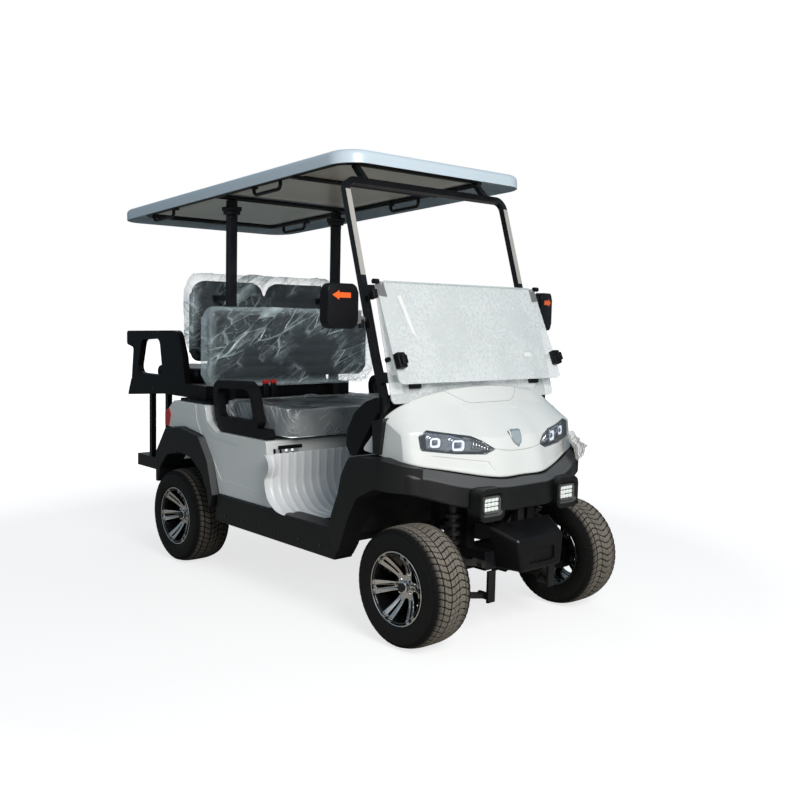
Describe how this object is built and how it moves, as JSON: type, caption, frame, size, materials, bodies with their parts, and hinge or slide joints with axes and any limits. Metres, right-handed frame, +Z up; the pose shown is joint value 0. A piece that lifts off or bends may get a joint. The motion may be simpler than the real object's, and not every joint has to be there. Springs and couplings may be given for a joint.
{
  "type": "four-seat golf cart",
  "caption": "Lifted electric golf cart with a canopy roof, folding windscreen, forward bench, rear-facing flip seat with footrest and alloy wheels on road tyres",
  "frame": {"origin": "on the ground, below the middle of the cart's overall length and width", "axes": "+X towards the front, +Y to the cart's left, +Z up"},
  "size_m": [2.9079, 1.509, 2.0914],
  "materials": {
    "battery_case": "moulded case, satin",
    "black_trim": "textured black moulding",
    "frame_paint": "black powder coat",
    "motor_case": "painted casting",
    "floor_black": "black floor covering",
    "kit_frame": "black powder-coated tube and plate",
    "kit_plastic": "black moulding, fine grain",
    "seat_vinyl": "dark grey seat vinyl",
    "flare_black": "grained black moulding, slight sheen",
    "body_white": "gloss white moulded panel",
    "lamp_white": "clear lamp cover over bright reflector",
    "lamp_red": "clear red lens",
    "suspension_black": "black paint",
    "spring_steel": "black coated spring steel",
    "pedal_rubber": "ribbed rubber",
    "axle_grey": "dark painted axle",
    "roof_white": "moulded white canopy",
    "tube_black": "black powder-coated tube",
    "wheel_grip": "soft black grip",
    "screen_film": "clear acrylic under frosted film",
    "rim_metal": "black alloy with machined faces",
    "tyre": "road tread"
  },
  "bodies": {
    "chassis": {"battery_pack": "battery_case", "bumper_box": "black_trim", "chassis_frame": "frame_paint", "dashboard": "black_trim", "drive_motor": "motor_case", "floor_pan": "floor_black", "footrest": "kit_frame", "front_armrests": "black_trim", "front_backrest": "seat_vinyl", "front_bumper": "flare_black", "front_cowl": "body_white", "front_hoop": "frame_paint", "front_lamps": "lamp_white", "front_wishbones": "suspension_black", "mirrors": "black_trim", "pedals": "pedal_rubber", "rear_armrests": "kit_plastic", "rear_axle": "axle_grey", "rear_backrest": "seat_vinyl", "rear_body": "body_white", "rear_flares": "flare_black", "rear_struts": "frame_paint", "rear_tray": "kit_plastic", "roof": "roof_white", "roof_rails": "tube_black", "side_sills": "flare_black", "springs_and_dampers": "spring_steel", "suspension_brackets": "frame_paint", "tail_lamps": "lamp_red", "windscreen_frame": "tube_black", "windscreen_panes": "screen_film"},
    "steering_wheel": {"steering_wheel": "wheel_grip"},
    "tie_rod": {"tie_rod": "suspension_black"},
    "knuckle_left": {"knuckle_left": "suspension_black"},
    "knuckle_right": {"knuckle_right": "suspension_black"},
    "seat_lid": {"front_seat_cushion": "seat_vinyl"},
    "rear_seat": {"rear_seat_cushion": "seat_vinyl"},
    "wheel_front_left": {"rim_front_left": "rim_metal", "tyre_front_left": "tyre"},
    "wheel_front_right": {"rim_front_right": "rim_metal", "tyre_front_right": "tyre"},
    "wheel_rear_left": {"rim_rear_left": "rim_metal", "tyre_rear_left": "tyre"},
    "wheel_rear_right": {"rim_rear_right": "rim_metal", "tyre_rear_right": "tyre"}
  },
  "joints": [
    {"name": "steering_turn", "type": "hinge", "parent": "chassis", "child": "steering_wheel", "pos_m": [0.475, 0.27, 1.075], "axis": [-0.788, 0, 0.6157], "range_deg": [-270, 270]},
    {"name": "left_knuckle_steer", "type": "hinge", "parent": "chassis", "child": "knuckle_left", "pos_m": [1.175, 0.362, 0.254], "axis": [0, 0, 1], "range_deg": [-28, 28]},
    {"name": "right_knuckle_steer", "type": "hinge", "parent": "chassis", "child": "knuckle_right", "pos_m": [1.175, -0.362, 0.254], "axis": [0, 0, 1], "range_deg": [-28, 28]},
    {"name": "tie_rod_slide", "type": "slide", "parent": "chassis", "child": "tie_rod", "axis": [0, 1, 0], "range_m": [-0.053, 0.053]},
    {"name": "seat_lid_lift", "type": "hinge", "parent": "chassis", "child": "seat_lid", "pos_m": [0.241, 0, 0.748], "axis": [0, 1, 0], "range_deg": [0, 60]},
    {"name": "rear_seat_flip", "type": "hinge", "parent": "chassis", "child": "rear_seat", "pos_m": [-1.229, 0, 1.014], "axis": [0, -1, 0], "range_deg": [0, 180]},
    {"name": "front_left_spin", "type": "hinge", "parent": "knuckle_left", "child": "wheel_front_left", "pos_m": [1.175, 0.5, 0.254], "axis": [0, 1, 0], "continuous": true},
    {"name": "front_right_spin", "type": "hinge", "parent": "knuckle_right", "child": "wheel_front_right", "pos_m": [1.175, -0.5, 0.254], "axis": [0, 1, 0], "continuous": true},
    {"name": "rear_left_spin", "type": "hinge", "parent": "chassis", "child": "wheel_rear_left", "pos_m": [-0.605, 0.528, 0.254], "axis": [0, 1, 0], "continuous": true},
    {"name": "rear_right_spin", "type": "hinge", "parent": "chassis", "child": "wheel_rear_right", "pos_m": [-0.605, -0.528, 0.254], "axis": [0, 1, 0], "continuous": true}
  ],
  "couplings": [
    {"joint": "left_knuckle_steer", "follows": "steering_turn", "ratio": 0.1},
    {"joint": "right_knuckle_steer", "follows": "steering_turn", "ratio": 0.1},
    {"joint": "tie_rod_slide", "follows": "steering_turn", "m_per_rad": -0.011}
  ]
}
